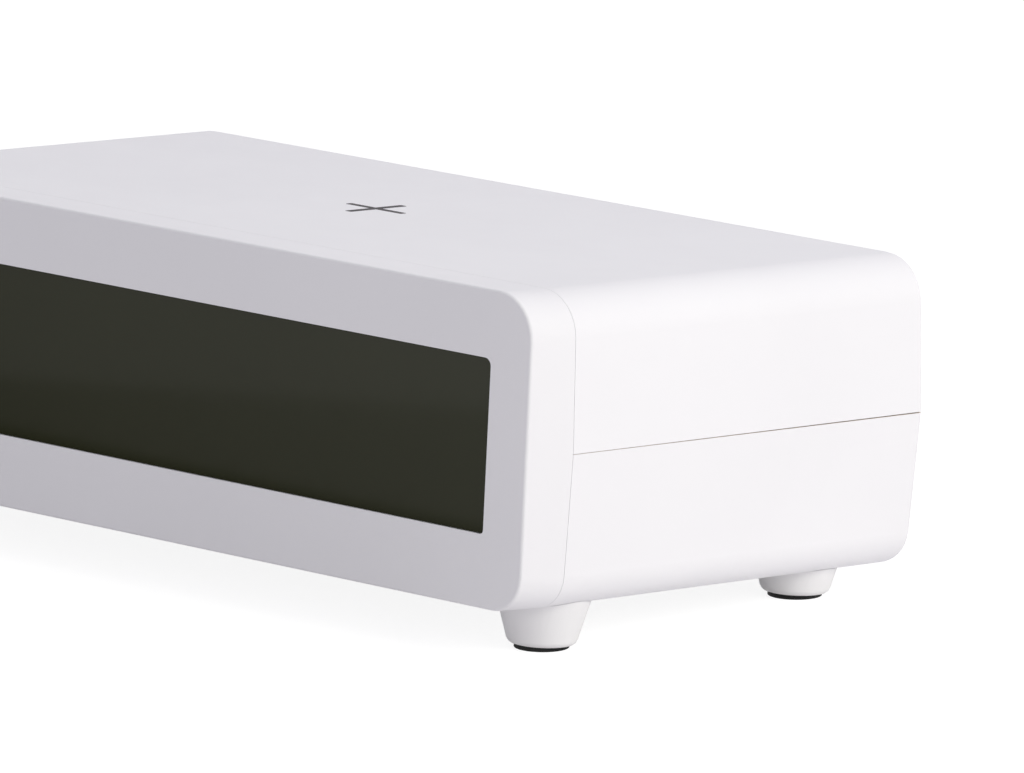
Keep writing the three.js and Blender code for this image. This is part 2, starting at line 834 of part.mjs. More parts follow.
// Feet: cones square to the underside, the front pair longer. Each fits the body's rounded edge, is
// drilled for its case screw and recessed for its pad.
function foot({ x, y }) {
  const toe = footToeZ(y);
  const taper = Math.tan(THREE.MathUtils.degToRad(footTaperDegrees));
  const top = footBlend;
  const topRadius = footToeRadius + (top - toe) * taper;
  const recessRadius = padRadius + padRecessGap;
  const seat = caseScrewSeatZ(y);
  const headBore = caseScrewHeadRadius + runningGap;
  const profile = [
    [caseBoreRadius, top],
    [caseBoreRadius, seat],
    [headBore, seat],
    [headBore, toe + padRecess],
    [recessRadius, toe + padRecess],
    [recessRadius, toe],
  ];
  for (let i = 0; i <= edgeSteps; i++) {
    const turn = (i / edgeSteps) * quarterTurn;
    const r = footToeRadius - footToeRound + footToeRound * Math.sin(turn);
    const z = toe + footToeRound * (1 - Math.cos(turn));
    profile.push([r + (z - toe) * taper, z]);
  }
  profile.push([topRadius, top]);
  profile.push([caseBoreRadius, top]);
  const cone = solid(turned(profile, footSteps).translate(x, y, 0));
  return cutBy(cone, wholeBody().translate([0, 0, -footGap]));
}

// Pads: rubber discs whose lower face lies flat on the table although the body leans.
function pad({ x, y }) {
  const top = footToeZ(y) + padRecess - padRecessGap;
  const bottom = tableZ(y);
  const disc = new THREE.CylinderGeometry(padRadius, padRadius, top - bottom, footSteps);
  disc.rotateX(quarterTurn).translate(0, 0, (top + bottom) * half);
  const corners = disc.attributes.position;
  const middle = (top + bottom) * half;
  for (let i = 0; i < corners.count; i++) {
    if (corners.getZ(i) < middle) {
      corners.setZ(i, bottom + corners.getY(i) * Math.tan(lean));
    }
  }
  return solid(disc.translate(x, y, 0));
}

// A screw with its head's seat at the origin and its point along +z.
function screw(length, radius, headRadius, headHeight) {
  const recess = headHeight * half;
  return turned(
    [
      [0, recess - headHeight],
      [radius, -headHeight],
      [headRadius * screwCrownShare, -headHeight],
      [headRadius, recess - headHeight],
      [headRadius, 0],
      [radius, 0],
      [radius, length - screwTip],
      [0, length],
    ],
    screwSteps,
  );
}

function boardScrew() {
  return screw(boardScrewLength, boardScrewRadius, boardScrewHeadRadius, boardScrewHeadHeight);
}

// Main board on its posts, with the chips, coils and capacitors that stand on it.
const mainBoardTop = mainBoardHeight + boardThickness;
const mainPlugY = mainBoardFront + mainPlugInset;
const inletX = mainBoardHalfWidth - inletEndDistance;
const inletZ = mainBoardTop + seatGap + inletThickness * half;

function mainPostPlaces() {
  const x = mainBoardHalfWidth - mainPostInset;
  const ys = [mainBoardFront + mainPostInset, mainBoardRear - mainPostInset];
  return ys.flatMap((y) => [
    [-x, y],
    [x, y],
  ]);
}

// Parts on the main board: the place of each as shares of the board's half width and depth, then its
// width, depth and height, or its radius and height, as shares of the largest part's.
const mainChipShares = [
  [-0.13, 0.39, 1, 1, 0.22],
  [0.23, 0.2, 0.66, 0.5, 0.2],
  [0.71, 0.65, 0.75, 0.75, 0.52],
  [-0.71, 0.2, 0.83, 0.42, 0.22],
];
const mainCapacitorShares = [
  [0.45, 0.81, 0.27, 0.88],
  [0.58, 0.81, 0.27, 0.88],
  [0.81, 0.42, 0.33, 1],
];

function mainBoard() {
  const width = mainBoardHalfWidth + mainBoardHalfWidth;
  const depth = mainBoardRear - mainBoardFront;
  const middle = (mainBoardFront + mainBoardRear) * half;
  const outline = roundedRectangle(0, middle, width, depth, boardCornerRadius);
  let board = slab(outline, mainBoardHeight, mainBoardTop);
  const inside = mainBoardTop - boardThickness * half;
  for (const [xShare, yShare, widthShare, depthShare, heightShare] of mainChipShares) {
    const [x, y] = [xShare * mainBoardHalfWidth, mainBoardFront + yShare * depth];
    const [w, d] = [widthShare * mainPartSide * half, depthShare * mainPartSide * half];
    const top = mainBoardTop + heightShare * mainPartHeight;
    board = joined(board, block(x - w, x + w, y - d, y + d, inside, top));
  }
  for (const [xShare, yShare, radiusShare, heightShare] of mainCapacitorShares) {
    const [x, y] = [xShare * mainBoardHalfWidth, mainBoardFront + yShare * depth];
    const top = mainBoardTop + heightShare * mainPartHeight;
    board = joined(board, upright(x, y, inside, top, radiusShare * mainPartSide, boreSteps));
  }
  const plugX = ribbonWidth * half + mainPlugEnd;
  const plugEnd = mainPlugY + mainPlugDepth;
  const plugTop = mainBoardTop + mainPlugHeight;
  board = joined(board, block(-plugX, plugX, mainPlugY, plugEnd, inside, plugTop));
  const [below, above] = [mainBoardHeight - overrun, mainBoardTop + overrun];
  for (const [x, y] of mainPostPlaces()) {
    board = cutBy(board, upright(x, y, below, above, boardBoreRadius, screwSteps));
  }
  return board;
}

// Control board: upright behind the back wall, with a push switch for each button and the slide
// switch's body.
const controlBoardFrontY = controlBoardFaceY - boardThickness;

function controlPostXs() {
  return [buttonFirstX - controlPostReach, sliderX + controlPostReach];
}

function controlBoard() {
  const [left, right] = controlPostXs();
  const outline = roundedRectangle(
    (left + right) * half,
    (controlBoardLow + controlBoardHigh) * half,
    right - left + controlBoardMargin + controlBoardMargin,
    controlBoardHigh - controlBoardLow,
    boardCornerRadius,
  );
  let board = panel(outline, controlBoardFrontY, controlBoardFaceY);
  const inside = controlBoardFaceY - boardThickness * half;
  const reach = switchSize * half;
  for (const x of buttonXs()) {
    const [z0, z1] = [buttonHeight - reach, buttonHeight + reach];
    const can = block(x - reach, x + reach, inside, controlBoardFaceY + switchDepth, z0, z1);
    const face = controlBoardFaceY + switchDepth;
    const tip = face + plungerLength;
    const plunger = rodBack(x, buttonHeight, face - overrun, tip, plungerRadius, boreSteps);
    board = joined(board, can, plunger);
  }
  const long = sliderSlotLength * half;
  const tall = sliderSlotWidth * half;
  const back = sliderPlateFrontY - seatGap;
  const [low, high] = [buttonHeight - tall, buttonHeight + tall];
  board = joined(board, block(sliderX - long, sliderX + long, inside, back, low, high));
  for (const x of controlPostXs()) {
    const [y0, y1] = [controlBoardFrontY - overrun, controlBoardFaceY + overrun];
    board = cutBy(board, rodBack(x, buttonHeight, y0, y1, boardBoreRadius, screwSteps));
  }
  return board;
}

// Buttons: a cap through the back wall, a flange that keeps it in, and a stem to its switch.
const buttonFlangeLow = buttonHeight - buttonWidth * half - buttonFlange;
const buttonFlangeBackY = rearInnerY(buttonFlangeLow) - runningGap;

function pushButton(x) {
  const tip = rearFaceY(buttonHeight) + buttonProud;
  const front = buttonFlangeBackY - buttonFlangeThickness;
  const ledge = buttonFlange + buttonFlange;
  const cap = panel(pill(x, buttonHeight, buttonLength, buttonWidth), front, tip - buttonProud * half);
  const crown = loft(
    [0, 1].map((share) => {
      const inset = share * buttonProud * half;
      const shape = pill(x, buttonHeight, buttonLength - inset - inset, buttonWidth - inset - inset);
      const y = tip - buttonProud * half * (1 - share);
      return shape.getPoints(innerSteps).map((point) => new THREE.Vector3(point.x, y, point.y));
    }),
  );
  const flange = panel(
    pill(x, buttonHeight, buttonLength + ledge, buttonWidth + ledge),
    front,
    buttonFlangeBackY,
  );
  const plungerTip = controlBoardFaceY + switchDepth + plungerLength;
  const stemEnd = plungerTip + buttonTravel + seatGap * half;
  const stemRoot = front + buttonFlangeThickness * half;
  const stem = rodBack(x, buttonHeight, stemEnd, stemRoot, stemRadius, boreSteps);
  return joined(cap, crown, flange, stem);
}

// Slider: a knob in the slot and a plate behind the wall that covers the slot at both ends.
const sliderPlateLow = buttonHeight - sliderSlotWidth * half - sliderPlateOverlap;
const sliderPlateBackY = rearInnerY(sliderPlateLow) - runningGap;
const sliderPlateFrontY = sliderPlateBackY - buttonFlangeThickness;

function slider() {
  const knobX = sliderX - sliderTravel * half;
  const reach = sliderKnobLength * half;
  const tall = sliderSlotWidth * half - runningGap;
  const tip = rearFaceY(buttonHeight) + sliderProud;
  const [z0, z1] = [buttonHeight - tall, buttonHeight + tall];
  let knob = block(knobX - reach, knobX + reach, sliderPlateFrontY, tip, z0, z1);
  const grooveHalf = sliderGrooveWidth * half;
  const grooveFloor = tip - sliderProud * half;
  for (const side of [-half, half]) {
    const x = knobX + side * sliderGroovePitch;
    const [x0, x1] = [x - grooveHalf, x + grooveHalf];
    const groove = block(x0, x1, grooveFloor, tip + overrun, z0 - overrun, z1 + overrun);
    knob = cutBy(knob, groove);
  }
  const long = reach + sliderPlateOverlap;
  const high = tall + sliderPlateOverlap;
  const plate = block(
    knobX - long,
    knobX + long,
    sliderPlateFrontY,
    sliderPlateBackY,
    buttonHeight - high,
    buttonHeight + high,
  );
  return joined(knob, plate);
}

// Power inlet: a drawn steel shell with its contact tongue.
function powerInlet() {
  const mouth = rearFaceY(inletZ) - inletRecess;
  const root = mouth - inletLength;
  const bore = inletWall + inletWall;
  const outer = panel(pill(inletX, inletZ, inletWidth, inletThickness), root, mouth);
  const inner = pill(inletX, inletZ, inletWidth - bore, inletThickness - bore);
  const floor = root + inletBase;
  const tube = cutBy(outer, panel(inner, floor, mouth + overrun));
  const [wide, thick] = [inletTongueWidth * half, inletTongueThickness * half];
  const tongue = block(
    inletX - wide,
    inletX + wide,
    floor - inletBase * half,
    mouth - inletTongueRecess,
    inletZ - thick,
    inletZ + thick,
  );
  return joined(tube, tongue);
}

// Back-up cell in its holder under the main board, its two contacts, and the door.
const cellLow = doorGrooveTop + seatGap;
const cellHigh = cellLow + cellThickness;
const holderTop = mainBoardHeight - seatGap;

function cellHolder() {
  const bore = cellRadius + runningGap;
  const outer = upright(cellX, cellY, cellLow, holderTop, bore + holderWall);
  const well = upright(cellX, cellY, cellLow - overrun, cellHigh + contactThickness + seatGap, bore);
  const gate = block(
    cellX - holderGateHalfWidth,
    cellX + holderGateHalfWidth,
    cellY,
    cellY + bore + holderWall + overrun,
    cellLow - overrun,
    cellHigh,
  );
  return cutBy(outer, well, gate);
}

// The cell: its wide can is the upper pole, and its lower face has the smaller lid.
function coinCell() {
  return solid(
    turned([
      [0, cellLow],
      [cellRadius - cellRimWidth, cellLow],
      [cellRadius - cellRimWidth, cellLow + cellRimHeight],
      [cellRadius, cellLow + cellRimHeight],
      [cellRadius, cellHigh],
      [0, cellHigh],
    ]).translate(cellX, cellY, 0),
  );
}

function cellContact() {
  const z0 = cellHigh + seatGap * half;
  const wide = contactWidth * half;
  const reach = cellRadius - runningGap;
  return block(cellX - wide, cellX + wide, cellY - reach, cellY + reach, z0, z0 + contactThickness);
}

// Door: a disc flush with the underside. Its lugs run in the groove over the ledge.
function batteryDoor() {
  const disc = upright(cellX, cellY, 0, doorThickness, doorRadius);
  const lugRadius = doorRadius + doorLugReach;
  const lugTop = doorLugLow + doorLugThickness;
  const lugs = lugAngles(0).map((angle) =>
    lugSector(angle, lugRadius, doorLugLow, lugTop, doorLugDegrees),
  );
  const long = coinSlotLength * half;
  const wide = coinSlotWidth * half;
  const slot = block(cellX - long, cellX + long, cellY - wide, cellY + wide, -overrun, coinSlotDepth);
  return cutBy(joined(disc, ...lugs), slot);
}

// Sounder: a round case with its port down, over the grille.
function sounder() {
  const [low, high] = [wall + seatGap, mainBoardHeight - seatGap];
  return solid(
    turned([
      [0, low + sounderVentDepth],
      [sounderVentRadius, low + sounderVentDepth],
      [sounderVentRadius, low],
      [sounderRadius, low],
      [sounderRadius, high],
      [0, high],
    ]).translate(sounderX, sounderY, 0),
  );
}

// Charging stack: coil, ferrite and carrier under the middle of the top.
const coilTop = bodyHeight - wall - seatGap;
const ferriteTop = coilTop - coilThickness - seatGap;
const pedestalTop = ferriteTop - ferriteThickness - seatGap;
const carrierTopZ = pedestalTop - carrierPedestal;
const carrierLow = carrierTopZ - carrierThickness;
const chargeBoardTop = carrierLow - carrierPostLength - seatGap;

function carrierBossPlaces() {
  const x = carrierHalfX - carrierBossInset;
  const y = carrierHalfY - carrierBossInset;
  return [-1, 1].flatMap((a) => [-1, 1].map((b) => [a * x, coilY + b * y]));
}

function chargingCoil() {
  const low = coilTop - coilThickness;
  return solid(
    turned(
      [
        [coilInnerRadius, low],
        [coilOuterRadius, low],
        [coilOuterRadius, coilTop],
        [coilInnerRadius, coilTop],
        [coilInnerRadius, low],
      ],
      roundSteps + boreSteps,
    ).translate(0, coilY, 0),
  );
}

function ferriteSheet() {
  const outline = roundedRectangle(0, coilY, ferriteSide, ferriteSide, carrierRim);
  return slab(outline, ferriteTop - ferriteThickness, ferriteTop);
}

function coilCarrier() {
  const [width, depth] = [carrierHalfX + carrierHalfX, carrierHalfY + carrierHalfY];
  const plateOutline = roundedRectangle(0, coilY, width, depth, carrierCornerRadius);
  const plate = slab(plateOutline, carrierLow, carrierTopZ);
  const nest = ferriteSide + seatGap + seatGap;
  const rimSide = nest + carrierRim + carrierRim;
  const overlap = carrierThickness * half;
  const rimOutline = roundedRectangle(0, coilY, rimSide, rimSide, carrierRim + carrierRim);
  const rim = slab(rimOutline, carrierTopZ - overlap, coilTop);
  const nestOutline = roundedRectangle(0, coilY, nest, nest, carrierRim);
  const hollow = slab(nestOutline, pedestalTop, coilTop + overrun);
  const exit = block(
    -coilLeadHalfWidth,
    coilLeadHalfWidth,
    coilY - rimSide,
    coilY - nest * half + overrun,
    pedestalTop,
    coilTop + overrun,
  );
  let carrier = cutBy(joined(plate, rim), hollow, exit);
  const foot = carrierLow - carrierPostLength;
  const boreEnd = foot + boardScrewLength;
  for (const x of [-carrierPostX, carrierPostX]) {
    const post = upright(x, coilY, foot, carrierLow + overlap, carrierPostRadius, boreSteps);
    const bore = upright(x, coilY, foot - overrun, boreEnd, boardBoreRadius, screwSteps);
    carrier = cutBy(joined(carrier, post), bore);
  }
  const [below, above] = [carrierLow - overrun, carrierTopZ + overrun];
  for (const [x, y] of carrierBossPlaces()) {
    carrier = cutBy(carrier, upright(x, y, below, above, boardBoreRadius, screwSteps));
  }
  return carrier;
}

// Parts on the charging board: the place of each as shares of the board's half sides, then its side
// and height as shares of the largest part's.
const chargePartShares = [
  [-0.3, -0.41, 0.9, 0.4],
  [0.3, 0.47, 1, 1],
  [0.3, -0.47, 0.5, 0.35],
];

function chargingBoard() {
  const low = chargeBoardTop - boardThickness;
  const outline = roundedRectangle(
    0,
    coilY,
    chargeBoardHalfX + chargeBoardHalfX,
    chargeBoardHalfY + chargeBoardHalfY,
    boardCornerRadius,
  );
  let board = slab(outline, low, chargeBoardTop);
  const inside = low + boardThickness * half;
  for (const [xShare, yShare, sideShare, heightShare] of chargePartShares) {
    const [x, y] = [xShare * chargeBoardHalfX, coilY + yShare * chargeBoardHalfY];
    const reach = sideShare * chargePartSide * half;
    const foot = low - heightShare * chargePartHeight;
    board = joined(board, block(x - reach, x + reach, y - reach, y + reach, foot, inside));
  }
  const [below, above] = [low - overrun, chargeBoardTop + overrun];
  for (const x of [-carrierPostX, carrierPostX]) {
    board = cutBy(board, upright(x, coilY, below, above, boardBoreRadius, screwSteps));
  }
  return board;
}

// Flat cable: down the back of the display board and along the main board to its plug.
function displayRibbon() {
  const y0 = displayBoardBack + seatGap;
  const z0 = mainBoardTop + seatGap;
  const end = mainPlugY - seatGap;
  const outline = [
    [y0, ribbonStartHeight + ribbonOverlap],
    [y0, ribbonStartHeight],
    [y0 + ribbonOverlap, z0],
    [end, z0],
    [end, z0 + ribbonThickness],
    [y0 + ribbonOverlap + ribbonThickness * half, z0 + ribbonThickness],
    [y0 + ribbonThickness, ribbonStartHeight + ribbonThickness * half],
    [y0 + ribbonThickness, ribbonStartHeight + ribbonOverlap],
  ];
  const shape = new THREE.Shape(outline.map(([y, z]) => new THREE.Vector2(y, z)));
  const flat = new THREE.ExtrudeGeometry(shape, { depth: ribbonWidth, bevelEnabled: false });
  const turn = new THREE.Matrix4().makeBasis(
    new THREE.Vector3(0, 1, 0),
    new THREE.Vector3(0, 0, 1),
    new THREE.Vector3(1, 0, 0),
  );
  return solid(flat.applyMatrix4(turn).translate(-ribbonWidth * half, 0, 0));
}

// Materials
function finish(color, roughness, metalness = 0) {
  return new THREE.MeshStandardMaterial({ color, roughness, metalness });
}

const whitePlastic = finish(0xf2f1f2, 0.55);
const footPlastic = finish(0xefeeef, 0.55);
const tintedPlastic = finish(0x35362d, 0.12);
const whiteFilm = finish(0xe9e9e4, 0.7);
const reflectorPlastic = finish(0xdfe0dc, 0.6);
const boardLaminate = finish(0x1d4a32, 0.5);
const blackRubber = finish(0x141414, 0.85);
const blackPlastic = finish(0x1c1c1d, 0.5);
const greyPlastic = finish(0xd6d5d7, 0.5);
const steel = finish(0xb4b4b2, 0.35, 1);
const brightSteel = finish(0xc9c9c6, 0.28, 1);
const copper = finish(0xb8703a, 0.35, 1);
const ferrite = finish(0x2b2a2c, 0.6);
const flatCable = finish(0xe4e1da, 0.6);

// Assembly
const clock = new THREE.Group();

function addPiece(name, piece, material, place = [0, 0, 0], turn = [0, 0, 0]) {
  const made = piece.getMesh();
  const geometry = new THREE.BufferGeometry();
  geometry.setAttribute("position", new THREE.BufferAttribute(made.vertProperties, 3));
  geometry.setIndex(new THREE.BufferAttribute(made.triVerts, 1));
  geometry.computeVertexNormals();
  const mesh = new THREE.Mesh(geometry, material.clone());
  mesh.name = name;
  mesh.position.set(...place);
  mesh.rotation.set(...turn);
  clock.add(mesh);
}

addPiece("front_frame", frontFrame(), whitePlastic);
addPiece("display_lens", displayLens(), tintedPlastic);
addPiece("diffuser_film", diffuserFilm(), whiteFilm);
addPiece("light_box", lightBox(), reflectorPlastic);
addPiece("display_board", displayBoard(), boardLaminate);
addPiece("display_ribbon", displayRibbon(), flatCable);
addPiece("upper_shell", upperShell(), whitePlastic);
addPiece("lower_shell", lowerShell(), whitePlastic);

for (const place of footPlaces) {
  addPiece(`foot_${place.name}`, foot(place), footPlastic);
  addPiece(`foot_pad_${place.name}`, pad(place), blackRubber);
  const caseScrew = solid(
    screw(caseScrewLength, caseScrewRadius, caseScrewHeadRadius, caseScrewHeadHeight),
  );
  addPiece(`case_screw_${place.name}`, caseScrew, steel, [place.x, place.y, caseScrewSeatZ(place.y)]);
}

addPiece("main_board", mainBoard(), boardLaminate);
mainPostPlaces().forEach(([x, y], i) => {
  const seat = [x, y, mainBoardTop + seatGap];
  addPiece(`main_board_screw_${i + 1}`, solid(boardScrew()), steel, seat, [Math.PI, 0, 0]);
});

addPiece("control_board", controlBoard(), boardLaminate);
controlPostXs().forEach((x, i) => {
  const seat = [x, controlBoardFrontY - seatGap, buttonHeight];
  addPiece(`control_screw_${i + 1}`, solid(boardScrew()), steel, seat, [-quarterTurn, 0, 0]);
});
const buttonNames = ["set", "up", "down", "alarm"];
buttonXs().forEach((x, i) => {
  addPiece(`button_${buttonNames[i % buttonNames.length]}`, pushButton(x), greyPlastic);
});
addPiece("alarm_slider", slider(), greyPlastic);
addPiece("power_inlet", powerInlet(), brightSteel);

addPiece("cell_holder", cellHolder(), blackPlastic);
addPiece("coin_cell", coinCell(), brightSteel);
addPiece("cell_contact", cellContact(), steel);
addPiece("battery_door", batteryDoor(), whitePlastic);
addPiece("sounder", sounder(), blackPlastic);

addPiece("charging_coil", chargingCoil(), copper);
addPiece("ferrite_sheet", ferriteSheet(), ferrite);
addPiece("coil_carrier", coilCarrier(), blackPlastic);
addPiece("charging_board", chargingBoard(), boardLaminate);
carrierBossPlaces().forEach(([x, y], i) => {
  addPiece(`carrier_screw_${i + 1}`, solid(boardScrew()), steel, [x, y, carrierLow - seatGap]);
});
[-carrierPostX, carrierPostX].forEach((x, i) => {
  const seat = [x, coilY, chargeBoardTop - boardThickness - seatGap];
  addPiece(`charging_board_screw_${i + 1}`, solid(boardScrew()), steel, seat);
});

frameBossPlaces().forEach(([x, z], i) => {
  const seat = [x, displayBoardBack + seatGap, z];
  addPiece(`display_screw_${i + 1}`, solid(boardScrew()), steel, seat, [quarterTurn, 0, 0]);
});

// The body leans back about its own x axis until its pads lie flat on the table, and stands with
// the middle of its outline over the origin.
const standing = new THREE.Group();
clock.rotation.x = -lean;
standing.add(clock);
standing.updateMatrixWorld(true);
const bounds = new THREE.Box3().setFromObject(standing, true);
clock.position.y = -(bounds.min.y + bounds.max.y) * half;
clock.position.z = -bounds.min.z;

export default standing;
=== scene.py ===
"""Looks, light and camera for the digital alarm clock. Metres, +Z up, the clock faces -Y."""

import json
import math

import bmesh
import bpy
from mathutils import Matrix, Vector


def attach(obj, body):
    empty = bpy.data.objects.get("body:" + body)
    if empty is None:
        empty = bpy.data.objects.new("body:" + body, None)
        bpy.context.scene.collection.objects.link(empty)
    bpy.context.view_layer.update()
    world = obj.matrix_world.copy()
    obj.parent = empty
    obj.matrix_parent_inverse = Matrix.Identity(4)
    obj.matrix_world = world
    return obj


MILLIMETRE = 0.001

# Camera, fitted to the outline, the window, the seams and the feet in the photograph
IMAGE_WIDTH = 1024
CAMERA_AZIMUTH = 43.748
CAMERA_ELEVATION = 10.908
CAMERA_ROLL = 0.772
CAMERA_FOCAL_PIXELS = 12096
CAMERA_DISTANCE = 2.2353
CAMERA_TARGET = Vector((0.04199, 0.0, 0.03737))
SENSOR_WIDTH = 36

# Cross printed on the top, in millimetres from the middle of the charging place
CROSS_OFFSET = (2.43, -0.66)
CROSS_LENGTH_X = 14.5
CROSS_LENGTH_Y = 15.0
CROSS_STROKE = 1.65
CROSS_ROUND = 0.35
CROSS_ROUND_STEPS = 6
CROSS_THICKNESS = 0.02

# Edges: rounds in millimetres, and the angles and the distance that tell corners from curves
CRISP_ROUND = 0.01
SMALL_ROUND = 0.12
ROUND_STEPS = 3
SMOOTH_ANGLE = math.radians(38)
FLAT_ANGLE = math.radians(0.3)
WELD_DISTANCE = 0.000001

# Plastic: how far apart its slow changes of tone and of gloss lie, in metres
TONE_SIZE = 0.045
GLOSS_SIZE = 0.006

# Parting line: the lower shell's lip, as a height in metres along the leaning body's own upward axis; from
# it up the lower shell gets a painted warm shade, standing in for the light that comes back out of the
# parting gap
BODY_UP = (0.0, 0.04885, 0.998806)
LIP_HEIGHT = 0.036138

# Metal: its drawn lines run along x and are 14 times narrower than long
DRAWN_STRETCH = (1, 14, 14)

# Softboxes, which point at the middle of the clock: places and sizes in metres, powers in watts
LIGHT_AIM = Vector((0, 0, 0.03))
SIDE_PLACE = (1.25, 0.12, 0.72)
SIDE_SIZE = (1.0, 0.6)
SIDE_POWER = 9.5
SIDE_COLOUR = (0.995, 0.99, 0.885)
TOP_PLACE = (0.3, 0.9, 1.7)
TOP_SIZE = (1.4, 1.2)
TOP_POWER = 4.0
TOP_COLOUR = (0.83, 0.81, 1.0)

# Sky, and the floor: what it bounces, and what the camera sees of its paper and of its shade
SKY_STRENGTH = 0.54
SKY_COLOUR = (0.958, 0.948, 0.998, 1)
WHITE = (1, 1, 1, 1)
BLACK = (0, 0, 0, 1)
FLOOR_HALF_WIDTH = 12
FLOOR_COLOUR = (0.93, 0.92, 0.93, 1)
PAPER_STRENGTH = 0.88
SHADE_COLOUR = (0.26, 0.26, 0.26, 1)

# Painted shade on the floor that only reflections see, from 0 for none to 1 for black, with places in
# metres: it fades across the floor before the clock, is less beyond a slanting step, and close to the clock
# it adds a painted shadow of the clock
DUSK_TURN = math.radians(140.8)
DUSK_SHIFT = (-0.3395, 0, 0)
ACROSS_DUSK = 0.813
ACROSS_WIDTH = 0.357
STEP_LESS = 0.2
STEP_HALF_WIDTH = 0.008
NEARER_MORE = 0.39
NEARER_STARTS = -0.196
NEARER_ENDS = -0.176
FRONT_FADE = 0.12

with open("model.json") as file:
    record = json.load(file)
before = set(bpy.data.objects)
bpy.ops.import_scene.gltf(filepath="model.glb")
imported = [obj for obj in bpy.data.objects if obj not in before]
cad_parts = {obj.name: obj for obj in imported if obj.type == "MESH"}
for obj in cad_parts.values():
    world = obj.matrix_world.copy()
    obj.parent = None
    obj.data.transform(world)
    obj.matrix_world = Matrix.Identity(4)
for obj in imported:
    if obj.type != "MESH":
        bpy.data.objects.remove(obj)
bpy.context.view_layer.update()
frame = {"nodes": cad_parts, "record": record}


def make_camera():
    """The photograph's camera: azimuth 0 looks along +Y, and the roll tips the horizon."""
    azimuth = math.radians(CAMERA_AZIMUTH)
    elevation = math.radians(CAMERA_ELEVATION)
    roll = math.radians(CAMERA_ROLL)
    level = math.cos(elevation)
    back = Vector((math.sin(azimuth) * level, -math.cos(azimuth) * level, math.sin(elevation)))
    right = Vector((math.cos(azimuth), math.sin(azimuth), 0.0))
    up = back.cross(right)
    turned_right = right * math.cos(roll) + up * math.sin(roll)
    turned_up = up * math.cos(roll) - right * math.sin(roll)
    data = bpy.data.cameras.new("camera")
    data.sensor_width = SENSOR_WIDTH
    data.lens = CAMERA_FOCAL_PIXELS * SENSOR_WIDTH / IMAGE_WIDTH
    data.clip_start = 0.05
    data.clip_end = 60
    camera = bpy.data.objects.new("camera", data)
    bpy.context.scene.collection.objects.link(camera)
    turn = Matrix((turned_right, turned_up, back)).transposed()
    camera.matrix_world = Matrix.Translation(CAMERA_TARGET + back * CAMERA_DISTANCE) @ turn.to_4x4()
    bpy.context.scene.camera = camera


# Material building blocks


class Shader:
    """A new material and short calls that add nodes to it and join them."""

    def __init__(self, name):
        self.material = bpy.data.materials.new(name)
        self.material.use_nodes = True
        self.tree = self.material.node_tree
        self.tree.nodes.clear()
        self.surface = self.add("ShaderNodeOutputMaterial").inputs["Surface"]
        self.place = self.add("ShaderNodeTexCoord").outputs["Object"]

    def add(self, kind, **settings):
        node = self.tree.nodes.new(kind)
        for key, value in settings.items():
            setattr(node, key, value)
        return node

    def join(self, source, target):
        self.tree.links.new(source, target)

    def noise(self, size, detail=3.0, stretch=None):
        """Noise with features of about this size in metres."""
        node = self.add("ShaderNodeTexNoise")
        node.inputs["Scale"].default_value = 1 / size
        node.inputs["Detail"].default_value = detail
        source = self.place
        if stretch:
            mapping = self.add("ShaderNodeMapping")
            mapping.inputs["Scale"].default_value = stretch
            self.join(source, mapping.inputs["Vector"])
            source = mapping.outputs["Vector"]
        self.join(source, node.inputs["Vector"])
        return node.outputs["Fac"]

    def spread(self, source, low, high):
        """A value that runs from low to high over the middle of a noise."""
        node = self.add("ShaderNodeMapRange")
        node.inputs["From Min"].default_value = 0.3
        node.inputs["From Max"].default_value = 0.7
        node.inputs["To Min"].default_value = low
        node.inputs["To Max"].default_value = high
        self.join(source, node.inputs["Value"])
        return node.outputs["Result"]

    def mixed(self, share):
        """A mix of two colours by a share: its two colour inputs and its result."""
        node = self.add("ShaderNodeMix", data_type="RGBA")
        self.join(share, node.inputs[0])
        colours = [socket for socket in node.inputs if socket.type == "RGBA"]
        return colours, next(socket for socket in node.outputs if socket.type == "RGBA")

    def tones(self, source, first, second):
        """A colour that runs between two tones over a noise."""
        colours, result = self.mixed(self.spread(source, 0, 1))
        colours[0].default_value = (*first, 1)
        colours[1].default_value = (*second, 1)
        return result

    def bump(self, source, depth):
        """A normal that follows bumps of this depth in metres."""
        node = self.add("ShaderNodeBump")
        node.inputs["Distance"].default_value = depth
        node.inputs["Strength"].default_value = 1.0
        self.join(source, node.inputs["Height"])
        return node.outputs["Normal"]

    def principled(self, colour, roughness, normal, **values):
        """The surface, from joined colour, roughness and normal, and plain values by socket name."""
        node = self.add("ShaderNodeBsdfPrincipled")
        for key, source in (("Base Color", colour), ("Roughness", roughness), ("Normal", normal)):
            self.join(source, node.inputs[key])
        for key, value in values.items():
            node.inputs[key].default_value = value
        self.join(node.outputs["BSDF"], self.surface)


def paint_gap_shade(shader, colour):
    """The colour, and from the lip of the parting line up a warmer, darker one: painted warm shade for the
    light that comes back out of the parting gap.
    """
    height = shader.add("ShaderNodeVectorMath", operation="DOT_PRODUCT")
    height.inputs[1].default_value = BODY_UP
    shader.join(shader.place, height.inputs[0])
    above = shader.add("ShaderNodeMath", operation="GREATER_THAN")
    above.inputs[1].default_value = LIP_HEIGHT
    shader.join(height.outputs["Value"], above.inputs[0])
    # Painted shade: warm, darker tones on the faces inside the parting gap, for the light that comes back
    # out of it
    gap_shade_tones = shader.tones(shader.noise(TONE_SIZE), (0.84, 0.75, 0.66), (0.82, 0.73, 0.64))
    colours, result = shader.mixed(above.outputs[0])
    shader.join(colour, colours[0])
    shader.join(gap_shade_tones, colours[1])
    return result


